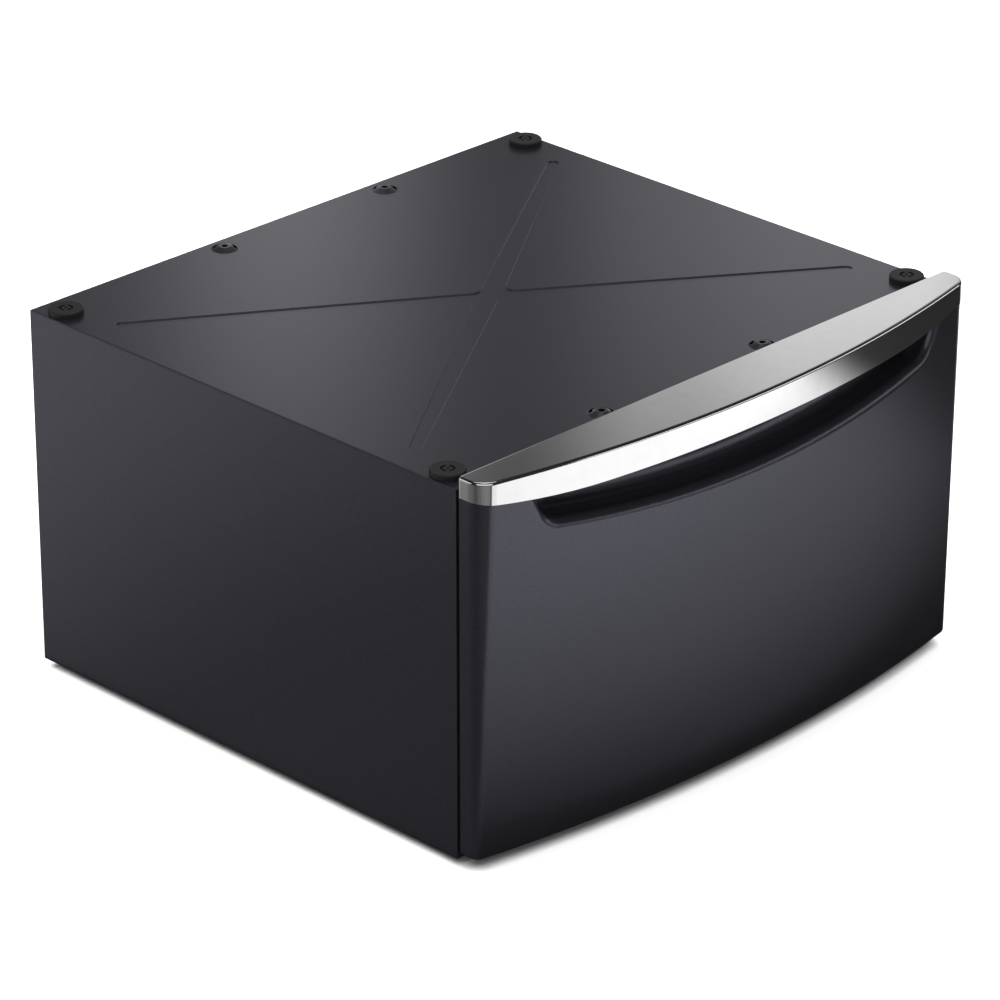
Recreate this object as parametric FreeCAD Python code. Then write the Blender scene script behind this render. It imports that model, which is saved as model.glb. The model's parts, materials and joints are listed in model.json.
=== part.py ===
import FreeCAD, Part
import math
import os

os.makedirs("parts", exist_ok=True)

# Laundry pedestal: a steel stand with one storage drawer under a washer or dryer.
# Millimetres. X runs across the front, Y from front to back, Z up from the floor.
# Parts are drawn with Y = 0 on the front of the cabinet, then moved back to centre.

V = FreeCAD.Vector

# ---- Cabinet ----
WIDTH = 685.8
DEPTH = 596.0
TOP_Z = 393.7
PANEL_BOTTOM_Z = 8.0
SHEET = 1.2
SEAM = 0.3
FLANGE = 18.0
SIDE_FOOT_FLANGE = 20.0
TOP_EDGE_RADIUS = 0.9
REAR_RECESS = 3.0
POST_LEG = 30.0
POST_SHEET = 1.5

# ---- Crossed recess in the top ----
CROSS_DEPTH = 1.2
CROSS_NOTCH_Y = 13.0
CROSS_NOTCH_X = 20.5
CROSS_TIP = (308.5, 208.5)
CROSS_TIP_HALF = 6.0
CROSS_NOTCH_RADIUS = 9.0
CROSS_TIP_RADIUS = 5.8
CROSS_RIM_RADIUS = 0.6
CROSS_FLOOR_RADIUS = 0.4

# ---- Fixing points in the top ----
FIXING_REAR = ((-101.0, 575.5), (125.5, 575.5))
FIXING_FRONT = ((-125.5, 23.5), (101.0, 23.5))
FIXING_HOLE_R = 3.3
FIXING_OPENING_R = 13.3
FIXING_CONE_TOP_R = 5.8
FIXING_CONE_RISE = 3.0
FIXING_SLOT_R = (8.8, 12.8)
FIXING_SLOT_START = -50.0
FIXING_SLOT_SWEEP = 190.0
FIXING_BRIDGE_WIDTH = 6.0
FIXING_BRIDGE_ANGLE_REAR = 24.0
FIXING_BRIDGE_ANGLE_FRONT = 72.0

# ---- Rubber pads on the top ----
PAD_X = 323.5
PAD_FRONT_Y = 30.0
PAD_REAR_Y = 564.0
PAD_R = 17.5
PAD_HEIGHT = 6.0
PAD_CHAMFER = 1.0
PAD_GROOVE_R = (4.6, 7.2)
PAD_GROOVE_DEPTH = 2.0
PAD_WEB = 2.6
PAD_EYE_R = 1.6
PAD_EYE_DEPTH = 1.2
PAD_STEM_R = 4.0
PAD_STEM_LENGTH = 9.0
PAD_BARB_R = 5.2
PAD_BARB_LENGTH = 4.0
PAD_BARB_GAP = 0.2

# ---- Frame inside the cabinet ----
RAIL_TOP_HEIGHT = 37.0
RAIL_TOP_LIP = 22.0
RAIL_TOP_HEAD = 6.0
RAIL_BASE_TOP_Z = 40.0
RAIL_BASE_FOOT = 70.0
RAIL_BASE_LIP = 18.0
RAIL_CLEAR = 0.3
BRACKET_PLATE = 2.5
BRACKET_WIDTH = 66.0
BRACKET_LENGTH = 74.0

# ---- Levelling feet ----
FOOT_X = 312.0
FOOT_FRONT_Y = 42.0
FOOT_REAR_Y = DEPTH - REAR_RECESS - SHEET - FOOT_FRONT_Y
FOOT_PAD_R = 17.0
FOOT_PAD_HEIGHT = 4.5
FOOT_COLLAR_R = 9.0
FOOT_COLLAR_TOP_Z = 7.4
FOOT_STUD_R = 5.0
FOOT_STUD_TOP_Z = 46.0
FOOT_HOLE_R = 5.08
FOOT_RAIL_HOLE_R = 8.0
NUT_ACROSS_FLATS = 17.0
NUT_HEIGHT = 8.0

# ---- Drawer front ----
DOOR_HALF_WIDTH = 341.9
DOOR_REAR_Y = -3.0
DOOR_LOW_Z = 12.5
DOOR_HIGH_Z = 390.0
DOOR_TRIM_Z = 440.0
DOOR_LOW_PEAK_Y = -58.0
DOOR_LOW_BOW_R = 1730.0
DOOR_LOW_CORNER_R = 10.0
DOOR_HIGH_PEAK_Y = -73.0
DOOR_HIGH_BOW_R = 1430.0
DOOR_HIGH_CORNER_R = 20.0
DOOR_BOTTOM_ROUND = 5.0
DOOR_FACE_Y = -30.0
LINER_REAR_Y = -4.8
LINER_GAP = 0.4
LINER_TOP_Z = 404.4

# ---- Grip pocket ----
POCKET_LIP_Z = 333.0
POCKET_CORNER = (266.0, 351.6)
POCKET_SIDE_SLOPE = 0.48
POCKET_DEPTH = 37.0
POCKET_BACK_BOW_R = 1600.0
POCKET_CORNER_R = 26.0
POCKET_SCOOP_R = 22.0
POCKET_LIP_R = 9.0

# ---- Chrome handle cap ----
HANDLE_HALF_WIDTH = 342.9
HANDLE_TOP_Z = 408.2
HANDLE_REAR_Y = -1.5
HANDLE_PEAK_Y = -74.0
HANDLE_BOW_R = 1430.0
HANDLE_CORNER_R = 22.0
HANDLE_REAR_CORNER_R = 4.0
HANDLE_WALL = 3.0
HANDLE_EDGE_R = 3.2
HANDLE_LOW_Z = 376.5
HANDLE_FLAT_HALF = 200.0
HANDLE_END_RISE = 10.5
HANDLE_SHADOW_GAP = 0.5
HANDLE_FIT = 0.3
HANDLE_SCREW_X = (-280.0, -100.0, 100.0, 280.0)
HANDLE_SCREW_Z = 398.0
HANDLE_SCREW_LENGTH = 3.0

# ---- Drawer box ----
BOX_HALF_WIDTH = 309.8
BOX_REAR_Y = 500.0
BOX_BOTTOM_Z = 48.0
BOX_TOP_Z = 332.0
BOX_SHEET = 1.0
BOX_HEM = 6.0
BOX_SCREW_X = (-260.0, -90.0, 90.0, 260.0)
BOX_SCREW_Z = (80.0, 300.0)
BOX_SCREW_LENGTH = 5.0
BUMPER_X = 332.0
BUMPER_Z = 60.0
BUMPER_R = 6.0
BUMPER_GAP = 0.3

# ---- Drawer slides ----
SLIDE_Z = 150.0
SLIDE_FRONT_Y = 12.0
SLIDE_LENGTH = 457.0
SLIDE_MOUNT_X = 322.5
OUTER_WEB = (0.0, 1.4)
OUTER_REACH = 10.0
OUTER_HALF = 22.5
MIDDLE_WEB = (3.4, 4.6)
MIDDLE_REACH = 10.4
MIDDLE_HALF = 16.4
INNER_WEB = (11.5, 12.7)
INNER_REACH = 6.0
INNER_HALF = 10.3
RAIL_SHEET = 1.2
CAGE_LENGTH = 200.0
CAGE_SHEET = 0.6
CAGE_OUTER = (2.1, 9.2, 18.85)
CAGE_INNER = (5.0, 11.0, 12.75)
BALL_R = 2.4
BALL_COUNT = 8
SLIDE_BRACKET_Y = (34.0, 560.0)
SLIDE_BRACKET_HALF = 30.0
SLIDE_SCREW_Y = (60.0, 240.0, 430.0)
CABINET_RAIL_SCREW_LENGTH = 5.0
DRAWER_RAIL_SCREW_LENGTH = 3.0

# ---- Small screws ----
SCREW_R = 2.0
SCREW_HEAD_R = 4.0
SCREW_HEAD_HEIGHT = 1.8
FLAT_HEAD_HEIGHT = 0.3
REAR_SCREW_Z = (60.0, 200.0, 340.0)
REAR_SCREW_LENGTH = 8.0

# FAR reaches past any face being cut; NEAR is how close counts as the same place.
FAR = 60.0
NEAR = 1.0
TOUCHING = 1e-4
HALF = WIDTH / 2
INSIDE = HALF - SHEET
ORIGIN_Y = (DEPTH + HANDLE_PEAK_Y) / 2


def save(name, shape):
    """Move a finished shape to the shared origin and write its file."""
    moved = shape.copy()
    moved.translate(V(0, -ORIGIN_Y, 0))
    moved.exportStep("parts/" + name + ".step")
    print(name, len(moved.Solids), "solid(s)", moved.isValid())


def box(low, high):
    """Box between two corners."""
    size = [b - a for a, b in zip(low, high)]
    return Part.makeBox(size[0], size[1], size[2], V(*low))


def join(shapes):
    """One solid out of overlapping or touching shapes."""
    return shapes[0].fuse(shapes[1:]).removeSplitter()


def mirror_x(shape):
    return shape.mirror(V(0, 0, 0), V(1, 0, 0))


def prism(points, z_low, z_high):
    """Upright prism over a closed outline of (x, y) points."""
    corners = [V(x, y, z_low) for x, y in points]
    wire = Part.makePolygon(corners + corners[:1])
    return Part.Face(wire).extrude(V(0, 0, z_high - z_low))


def upright_edges(shape, wanted):
    """Vertical edges whose (x, y) passes the test."""
    found = []
    for edge in shape.Edges:
        a, b = edge.Vertexes[0].Point, edge.Vertexes[-1].Point
        level = math.hypot(a.x - b.x, a.y - b.y)
        if level < TOUCHING and abs(a.z - b.z) > TOUCHING and wanted(a.x, a.y):
            found.append(edge)
    return found


def edges_at_height(shape, z, wanted):
    """Edges lying flat at one height whose middle passes the test."""
    found = []
    for edge in shape.Edges:
        bounds = edge.BoundBox
        middle = edge.CenterOfMass
        off = max(abs(bounds.ZMin - z), abs(bounds.ZMax - z))
        if off < TOUCHING and wanted(middle.x, middle.y):
            found.append(edge)
    return found


# ---------------------------------------------------------------- top panel

def cross_points(grow):
    """Outline of the crossed recess, each side moved out by grow."""
    tip_x, tip_y = CROSS_TIP
    length = math.hypot(tip_x, tip_y)
    along = (tip_x / length, tip_y / length)
    reach = 1 + grow / length
    half = CROSS_TIP_HALF + grow
    back = (tip_x * reach - half * along[1], tip_y * reach + half * along[0])
    side = (tip_x * reach + half * along[1], tip_y * reach - half * along[0])
    notch_x = CROSS_NOTCH_X + grow / along[1]
    notch_y = CROSS_NOTCH_Y + grow / along[0]
    middle = DEPTH / 2
    quarter = [(notch_x, 0.0), side, back, (0.0, notch_y)]
    points = quarter[:]
    points += [(-x, y) for x, y in reversed(quarter[:3])]
    points += [(-x, -y) for x, y in quarter[1:]]
    points += [(x, -y) for x, y in reversed(quarter[1:3])]
    return [(x, y + middle) for x, y in points]


def cross(grow, z_low, z_high):
    """Solid over the crossed outline with rounded notches and tips."""
    body = prism(cross_points(grow), z_low, z_high)
    near = CROSS_NOTCH_X + FAR
    notches = upright_edges(body, lambda x, y: abs(x) < near)
    body = body.makeFillet(CROSS_NOTCH_RADIUS - grow, notches)
    tips = upright_edges(body, lambda x, y: abs(x) > CROSS_TIP[0] - FAR)
    return body.makeFillet(CROSS_TIP_RADIUS + grow, tips)


def fixing_cone(x, y, angle):
    """Raised cone with a screw hole, half of its foot slotted but for one bridge."""
    under_z = TOP_Z - SHEET
    crest_z = TOP_Z + FIXING_CONE_RISE
    foot_r = FIXING_OPENING_R + SHEET / 2
    outline = [
        V(FIXING_HOLE_R, 0, crest_z),
        V(FIXING_CONE_TOP_R, 0, crest_z),
        V(foot_r, 0, TOP_Z),
        V(foot_r, 0, under_z),
        V(FIXING_CONE_TOP_R - SHEET / 2, 0, crest_z - SHEET),
        V(FIXING_HOLE_R, 0, crest_z - SHEET),
    ]
    face = Part.Face(Part.makePolygon(outline + outline[:1]))
    cone = face.revolve(V(0, 0, 0), V(0, 0, 1), 360)
    inner, outer = FIXING_SLOT_R
    height = crest_z - under_z
    slot = Part.makeCylinder(outer, height, V(0, 0, under_z), V(0, 0, 1), FIXING_SLOT_SWEEP)
    slot.rotate(V(0, 0, 0), V(0, 0, 1), FIXING_SLOT_START)
    slot = slot.cut(Part.makeCylinder(inner, height, V(0, 0, under_z)))
    half = FIXING_BRIDGE_WIDTH / 2
    bridge = box((0, -half, under_z), (outer, half, crest_z))
    bridge.rotate(V(0, 0, 0), V(0, 0, 1), angle)
    whole = cone.cut(slot.cut(bridge))
    whole.translate(V(x, y, 0))
    return whole


def fixing_places():
    """Each fixing point as (x, y, bridge angle)."""
    places = [(x, y, FIXING_BRIDGE_ANGLE_REAR) for x, y in FIXING_REAR]
    return places + [(x, y, FIXING_BRIDGE_ANGLE_FRONT) for x, y in FIXING_FRONT]


def pad_places():
    """Each pad as (name, x, y)."""
    return [
        ("front_left", -PAD_X, PAD_FRONT_Y),
        ("front_right", PAD_X, PAD_FRONT_Y),
        ("rear_left", -PAD_X, PAD_REAR_Y),
        ("rear_right", PAD_X, PAD_REAR_Y),
    ]


def top_panel():
    """Pressed top sheet with the crossed recess, fixing cones and pad holes."""
    under_z = TOP_Z - SHEET
    sheet = box((-HALF, 0, under_z), (HALF, DEPTH, TOP_Z))
    rim = edges_at_height(sheet, TOP_Z, lambda x, y: True)
    sheet = sheet.makeFillet(TOP_EDGE_RADIUS, rim)
    bulge = cross(SHEET, under_z - CROSS_DEPTH, under_z + SHEET / 2)
    hollow = cross(0.0, TOP_Z - CROSS_DEPTH, TOP_Z + SHEET)
    floor = edges_at_height(hollow, TOP_Z - CROSS_DEPTH, lambda x, y: True)
    hollow = hollow.makeFillet(CROSS_FLOOR_RADIUS, floor)
    sheet = sheet.fuse(bulge).cut(hollow)
    inner = PAD_X - POST_LEG / 2
    brim = edges_at_height(
        sheet, TOP_Z, lambda x, y: abs(x) < inner and FAR < y < DEPTH - FAR)
    sheet = sheet.makeFillet(CROSS_RIM_RADIUS, brim)
    for x, y, angle in fixing_places():
        opening = Part.makeCylinder(FIXING_OPENING_R, 2 * SHEET, V(x, y, under_z - SHEET / 2))
        sheet = sheet.cut(opening)
        sheet = sheet.fuse(fixing_cone(x, y, angle))
    for name, x, y in pad_places():
        sheet = sheet.cut(Part.makeCylinder(PAD_STEM_R, 2 * SHEET, V(x, y, under_z - SHEET / 2)))
    return sheet


def top_pad(x, y):
    """Round rubber pad with a barbed stem pushed through the top."""
    body = Part.makeCylinder(PAD_R, PAD_HEIGHT, V(0, 0, TOP_Z))
    rim = edges_at_height(body, TOP_Z + PAD_HEIGHT, lambda a, b: True)
    body = body.makeChamfer(PAD_CHAMFER, rim)
    top_z = TOP_Z + PAD_HEIGHT
    inner, outer = PAD_GROOVE_R
    groove = Part.makeCylinder(outer, PAD_GROOVE_DEPTH, V(0, 0, top_z - PAD_GROOVE_DEPTH))
    groove = groove.cut(Part.makeCylinder(inner, PAD_GROOVE_DEPTH, V(0, 0, top_z - PAD_GROOVE_DEPTH)))
    web = box((-outer, -PAD_WEB / 2, top_z - PAD_GROOVE_DEPTH), (outer, PAD_WEB / 2, top_z))
    web.rotate(V(0, 0, 0), V(0, 0, 1), 45)
    body = body.cut(groove.cut(web))
    body = body.cut(Part.makeCylinder(PAD_EYE_R, PAD_EYE_DEPTH, V(0, 0, top_z - PAD_EYE_DEPTH)))
    stem = Part.makeCylinder(PAD_STEM_R, PAD_STEM_LENGTH, V(0, 0, TOP_Z - PAD_STEM_LENGTH))
    barb_top = TOP_Z - SHEET - PAD_BARB_GAP
    barb = Part.makeCone(PAD_STEM_R, PAD_BARB_R, PAD_BARB_LENGTH, V(0, 0, barb_top - PAD_BARB_LENGTH))
    whole = join([body, stem, barb])
    whole.translate(V(x, y, 0))
    return whole


# ---------------------------------------------------------------- cabinet

def left_panel():
    """Side sheet with turned-in front, rear and bottom flanges."""
    top_z = TOP_Z - SHEET - SEAM
    rear_face = DEPTH - REAR_RECESS - SHEET
    wall = box((-HALF, 0, PANEL_BOTTOM_Z), (-INSIDE, DEPTH, top_z))
    front = box((-INSIDE, 0, PANEL_BOTTOM_Z), (-INSIDE + FLANGE, SHEET, top_z))
    rear = box((-INSIDE, rear_face - SHEET, PANEL_BOTTOM_Z), (-INSIDE + FLANGE, rear_face, top_z))
    foot = box(
        (-INSIDE, SHEET, PANEL_BOTTOM_Z),
        (-INSIDE + SIDE_FOOT_FLANGE, rear_face - SHEET, PANEL_BOTTOM_Z + SHEET))
    return join([wall, front, rear, foot])


def rear_panel():
    """Flat cover closing the back."""
    face = DEPTH - REAR_RECESS
    gap = INSIDE - RAIL_CLEAR
    return box((-gap, face - SHEET, PANEL_BOTTOM_Z), (gap, face, TOP_Z - SHEET - SEAM))


def front_top_rail():
    """Channel across the front under the top sheet."""
    reach = INSIDE - FLANGE - RAIL_CLEAR
    top_z = TOP_Z - SHEET - SEAM
    low_z = top_z - RAIL_TOP_HEIGHT
    web = box((-reach, 0, low_z), (reach, SHEET, top_z))
    lip = box((-reach, SHEET, low_z), (reach, RAIL_TOP_LIP, low_z + SHEET))
    head = box((-reach, SHEET, top_z - SHEET), (reach, SHEET + RAIL_TOP_HEAD, top_z))
    return join([web, lip, head])


def rear_top_rail():
    """Angle across the back under the top sheet."""
    reach = INSIDE - FLANGE - RAIL_CLEAR
    face = DEPTH - REAR_RECESS - SHEET
    top_z = TOP_Z - SHEET - SEAM
    low_z = top_z - RAIL_TOP_HEIGHT
    web = box((-reach, face - SHEET, low_z), (reach, face, top_z))
    lip = box((-reach, face - RAIL_TOP_LIP, low_z), (reach, face - SHEET, low_z + SHEET))
    return join([web, lip])


def base_rail(front):
    """Channel across the bottom, at the front or at the back."""
    reach = INSIDE - FLANGE - RAIL_CLEAR
    rear_face = DEPTH - REAR_RECESS - SHEET
    low_z = PANEL_BOTTOM_Z
    web = box((-reach, 0, low_z), (reach, SHEET, RAIL_BASE_TOP_Z))
    foot_reach = INSIDE - SIDE_FOOT_FLANGE - RAIL_CLEAR
    foot = box((-foot_reach, SHEET, low_z), (foot_reach, RAIL_BASE_FOOT, low_z + SHEET))
    lip = box((-reach, SHEET, RAIL_BASE_TOP_Z - SHEET), (reach, RAIL_BASE_LIP, RAIL_BASE_TOP_Z))
    rail = join([web, foot, lip])
    if not front:
        rail = rail.mirror(V(0, rear_face / 2, 0), V(0, 1, 0))
    foot_y = FOOT_FRONT_Y if front else FOOT_REAR_Y
    for x in (-FOOT_X, FOOT_X):
        rail = rail.cut(Part.makeCylinder(FOOT_RAIL_HOLE_R, 2 * SHEET, V(x, foot_y, low_z - SHEET / 2)))
    return rail


def front_left_post():
    """Angle standing in the front left corner."""
    low_z = PANEL_BOTTOM_Z + SHEET + BRACKET_PLATE
    top_z = TOP_Z - SHEET - SEAM
    side = box((-INSIDE, SHEET, low_z), (-INSIDE + POST_SHEET, SHEET + POST_LEG, top_z))
    face = box((-INSIDE, SHEET, low_z), (-INSIDE + FLANGE, SHEET + POST_SHEET, top_z))
    return join([side, face])


def front_left_bracket():
    """Corner plate that carries a levelling foot."""
    low_z = PANEL_BOTTOM_Z + SHEET
    plate = box(
        (-INSIDE, SHEET, low_z),
        (-INSIDE + BRACKET_WIDTH, SHEET + BRACKET_LENGTH, low_z + BRACKET_PLATE))
    hole = Part.makeCylinder(FOOT_HOLE_R, 2 * BRACKET_PLATE, V(-FOOT_X, FOOT_FRONT_Y, low_z - SHEET))
    return plate.cut(hole)


def to_rear(shape):
    """Mirror a front corner part to the matching rear corner."""
    rear_face = DEPTH - REAR_RECESS - SHEET
    return shape.mirror(V(0, rear_face / 2, 0), V(0, 1, 0))


def foot_places():
    """Each levelling foot as (name, x, y)."""
    return [
        ("front_left", -FOOT_X, FOOT_FRONT_Y),
        ("front_right", FOOT_X, FOOT_FRONT_Y),
        ("rear_left", -FOOT_X, FOOT_REAR_Y),
        ("rear_right", FOOT_X, FOOT_REAR_Y),
    ]


def lock_nut(x, y):
    """Hexagon nut standing on the corner plate."""
    low_z = PANEL_BOTTOM_Z + SHEET + BRACKET_PLATE
    corner = NUT_ACROSS_FLATS / math.sqrt(3)
    angles = [math.radians(60 * k) for k in range(6)]
    body = prism([(corner * math.cos(a), corner * math.sin(a)) for a in angles], low_z, low_z + NUT_HEIGHT)
    body = body.cut(Part.makeCylinder(FOOT_HOLE_R, NUT_HEIGHT, V(0, 0, low_z)))
    body.translate(V(x, y, 0))
    return body


def levelling_foot(x, y):
    """Round foot with a collar and a screwed stud."""
    pad = Part.makeCylinder(FOOT_PAD_R, FOOT_PAD_HEIGHT)
    rim = edges_at_height(pad, FOOT_PAD_HEIGHT, lambda a, b: True)
    pad = pad.makeChamfer(PAD_CHAMFER, rim)
    collar = Part.makeCylinder(FOOT_COLLAR_R, FOOT_COLLAR_TOP_Z)
    stud = Part.makeCylinder(FOOT_STUD_R, FOOT_STUD_TOP_Z)
    tip = edges_at_height(stud, FOOT_STUD_TOP_Z, lambda a, b: True)
    stud = stud.makeChamfer(PAD_CHAMFER, tip)
    whole = join([pad, collar, stud])
    whole.translate(V(x, y, 0))
    return whole


def screw(head_base, direction, length):
    """Pan-head screw: the head stands up from its base, the shank runs the other way."""
    head = Part.makeCylinder(SCREW_HEAD_R, SCREW_HEAD_HEIGHT, head_base, direction)
    back = V(direction).multiply(-1)
    shank = Part.makeCylinder(SCREW_R, length, head_base, back)
    return join([head, shank])


def rear_panel_screws():
    """Screws holding the back cover to the side flanges."""
    face = DEPTH - REAR_RECESS
    inset = INSIDE - FLANGE / 2
    shapes = []
    for x in (-inset, inset):
        for z in REAR_SCREW_Z:
            shapes.append(screw(V(x, face, z), V(0, 1, 0), REAR_SCREW_LENGTH))
    return shapes


# ---------------------------------------------------------------- drawer front

def bowed_wire(half_width, rear_y, peak_y, bow_r, corner_r, z):
    """Outline with a bowed front, rounded front corners and a straight rear."""
    centre_y = peak_y + bow_r
    drop = math.sqrt((bow_r - corner_r) ** 2 - (half_width - corner_r) ** 2)
    corner_x = half_width - corner_r
    corner_y = centre_y - drop
    scale = bow_r / (bow_r - corner_r)
    bow_x = corner_x * scale
    bow_y = centre_y - drop * scale
    mid_angle = (math.pi + math.atan2(drop, corner_x)) / 2 - math.pi / 2
    mid_x = corner_x + corner_r * math.cos(mid_angle)
    mid_y = corner_y - corner_r * math.sin(mid_angle)
    rear_left = V(-half_width, rear_y, z)
    rear_right = V(half_width, rear_y, z)
    side_right = V(half_width, corner_y, z)
    side_left = V(-half_width, corner_y, z)
    front_right = V(bow_x, bow_y, z)
    front_left = V(-bow_x, bow_y, z)
    edges = [
        Part.makeLine(rear_left, rear_right),
        Part.makeLine(rear_right, side_right),
        Part.Arc(side_right, V(mid_x, mid_y, z), front_right).toShape(),
        Part.Arc(front_right, V(0, peak_y, z), front_left).toShape(),
        Part.Arc(front_left, V(-mid_x, mid_y, z), side_left).toShape(),
        Part.makeLine(side_left, rear_left),
    ]
    return Part.Wire(edges)


def blend(low, high, z):
    """Straight-line value at height z between the low and high outlines."""
    return low + (high - low) * (z - DOOR_LOW_Z) / (DOOR_HIGH_Z - DOOR_LOW_Z)


def door_body(inset, low_z, rear_y):
    """Leaning, bowed block of the drawer front, its faces moved in by inset."""
    wires = []
    for z in (low_z, DOOR_TRIM_Z):
        wires.append(bowed_wire(
            DOOR_HALF_WIDTH - inset,
            rear_y,
            blend(DOOR_LOW_PEAK_Y, DOOR_HIGH_PEAK_Y, z) + inset,
            blend(DOOR_LOW_BOW_R, DOOR_HIGH_BOW_R, z) - inset,
            blend(DOOR_LOW_CORNER_R, DOOR_HIGH_CORNER_R, z) - inset,
            z))
    body = Part.makeLoft(wires, True, True)
    rim = edges_at_height(body, low_z, lambda x, y: y < rear_y - NEAR)
    return body.makeFillet(DOOR_BOTTOM_ROUND - inset, rim)


def below_handle(drop):
    """Everything lower than the arched bottom edge of the handle, less drop."""
    low = HANDLE_LOW_Z - drop
    end_x = HALF + FAR
    run = HALF - HANDLE_FLAT_HALF
    arc_r = run ** 2 / (2 * HANDLE_END_RISE)
    reach = end_x - HANDLE_FLAT_HALF
    angle = math.asin(reach / arc_r)
    end_z = low + arc_r * (1 - math.cos(angle))
    mid_x = HANDLE_FLAT_HALF + arc_r * math.sin(angle / 2)
    mid_z = low + arc_r * (1 - math.cos(angle / 2))
    front_y = HANDLE_PEAK_Y - FAR
    flat = HANDLE_FLAT_HALF
    edges = [
        Part.makeLine(V(-end_x, front_y, -FAR), V(end_x, front_y, -FAR)),
        Part.makeLine(V(end_x, front_y, -FAR), V(end_x, front_y, end_z)),
        Part.Arc(V(end_x, front_y, end_z), V(mid_x, front_y, mid_z), V(flat, front_y, low)).toShape(),
        Part.makeLine(V(flat, front_y, low), V(-flat, front_y, low)),
        Part.Arc(V(-flat, front_y, low), V(-mid_x, front_y, mid_z), V(-end_x, front_y, end_z)).toShape(),
        Part.makeLine(V(-end_x, front_y, end_z), V(-end_x, front_y, -FAR)),
    ]
    return Part.Face(Part.Wire(edges)).extrude(V(0, 4 * FAR, 0))


def pocket_tool(grow):
    """Scoop cut out for the grip, open at the top, its walls moved out by grow."""
    top_z = DOOR_TRIM_Z + FAR
    front_y = HANDLE_PEAK_Y - FAR
    x, z = POCKET_CORNER
    x += grow
    z -= grow
    side_x = x + POCKET_SIDE_SLOPE * (top_z - z)
    edges = [
        Part.Arc(V(-x, front_y, z), V(0, front_y, POCKET_LIP_Z - grow), V(x, front_y, z)).toShape(),
        Part.makeLine(V(x, front_y, z), V(side_x, front_y, top_z)),
        Part.makeLine(V(side_x, front_y, top_z), V(-side_x, front_y, top_z)),
        Part.makeLine(V(-side_x, front_y, top_z), V(-x, front_y, z)),
    ]
    tool = Part.Face(Part.Wire(edges)).extrude(V(0, 4 * FAR, 0))
    corners = []
    for edge in tool.Edges:
        ends = [vertex.Point for vertex in edge.Vertexes]
        if abs(ends[0].y - ends[-1].y) > FAR and abs(ends[0].z - z) < TOUCHING:
            corners.append(edge)
    tool = tool.makeFillet(POCKET_CORNER_R + grow, corners)
    back_y = DOOR_HIGH_PEAK_Y + POCKET_DEPTH + POCKET_BACK_BOW_R
    back = Part.makeCylinder(POCKET_BACK_BOW_R - grow, 4 * top_z, V(0, back_y, -top_z))
    tool = tool.cut(back)
    scoop = []
    for edge in tool.Edges:
        middle = edge.CenterOfMass
        deep = edge.BoundBox.YMin > front_y + NEAR
        if deep and middle.z < top_z - NEAR:
            scoop.append(edge)
    return tool.makeFillet(POCKET_SCOOP_R + grow, scoop)


def door_envelope(inset, rear_y, top_z):
    """Room for the drawer front: below the handle, and inside the cap as a neck."""
    step = HANDLE_WALL + HANDLE_FIT + inset
    wire = bowed_wire(
        HANDLE_HALF_WIDTH - step,
        rear_y,
        HANDLE_PEAK_Y + step,
        HANDLE_BOW_R - step,
        HANDLE_CORNER_R - step,
        POCKET_LIP_Z)
    neck = Part.Face(wire).extrude(V(0, 0, top_z - POCKET_LIP_Z))
    return below_handle(HANDLE_SHADOW_GAP + inset).fuse(neck)


def scooped_door(inset, low_z, rear_y):
    """Drawer front block with the grip scooped out and its lip rounded."""
    body = door_body(inset, low_z, rear_y).cut(pocket_tool(inset))
    front = max(body.Faces, key=lambda face: face.Area if face.CenterOfMass.y < DOOR_FACE_Y else 0)
    lip = []
    for edge in front.Edges:
        middle = edge.CenterOfMass
        if abs(middle.x) < POCKET_CORNER[0] + FAR and POCKET_LIP_Z - FAR < middle.z < DOOR_TRIM_Z - NEAR:
            lip.append(edge)
    return body.makeFillet(POCKET_LIP_R - inset, lip)


def drawer_front_panel():
    """Pressed steel skin: bowed face, returns, grip scoop and neck."""
    neck_top_z = HANDLE_TOP_Z - HANDLE_WALL - HANDLE_FIT
    outer = scooped_door(0.0, DOOR_LOW_Z, DOOR_REAR_Y)
    outer = outer.common(door_envelope(0.0, LINER_REAR_Y, neck_top_z))
    inner = scooped_door(SHEET, DOOR_LOW_Z + SHEET, DOOR_REAR_Y + FAR)
    inner = inner.common(door_envelope(SHEET, DOOR_REAR_Y + FAR, neck_top_z + FAR / 2))
    return outer.cut(inner)


def drawer_front_liner():
    """Flat sheet closing the rear of the drawer front."""
    side = HANDLE_HALF_WIDTH - HANDLE_WALL - HANDLE_FIT - SHEET - LINER_GAP
    low_z = DOOR_LOW_Z + SHEET + LINER_GAP
    return box((-side, LINER_REAR_Y - SHEET, low_z), (side, LINER_REAR_Y, LINER_TOP_Z))


def handle_block(inset, low_z, top_z):
    """Handle plan outline as a solid, its faces moved in by inset."""
    wire = bowed_wire(
        HANDLE_HALF_WIDTH - inset,
        HANDLE_REAR_Y - inset,
        HANDLE_PEAK_Y + inset,
        HANDLE_BOW_R - inset,
        HANDLE_CORNER_R - inset,
        low_z)
    return Part.Face(wire).extrude(V(0, 0, top_z - low_z))


def handle_trim():
    """Plated cap over the top of the drawer front, open underneath."""
    outer = handle_block(0.0, POCKET_LIP_Z, HANDLE_TOP_Z)
    rear = upright_edges(outer, lambda x, y: y > HANDLE_REAR_Y - NEAR)
    outer = outer.makeFillet(HANDLE_REAR_CORNER_R, rear)
    top = edges_at_height(outer, HANDLE_TOP_Z, lambda x, y: True)
    outer = outer.makeFillet(HANDLE_EDGE_R, top)
    outer = outer.cut(below_handle(0.0))
    return outer.cut(handle_block(HANDLE_WALL, 0.0, HANDLE_TOP_Z - HANDLE_WALL))


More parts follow.
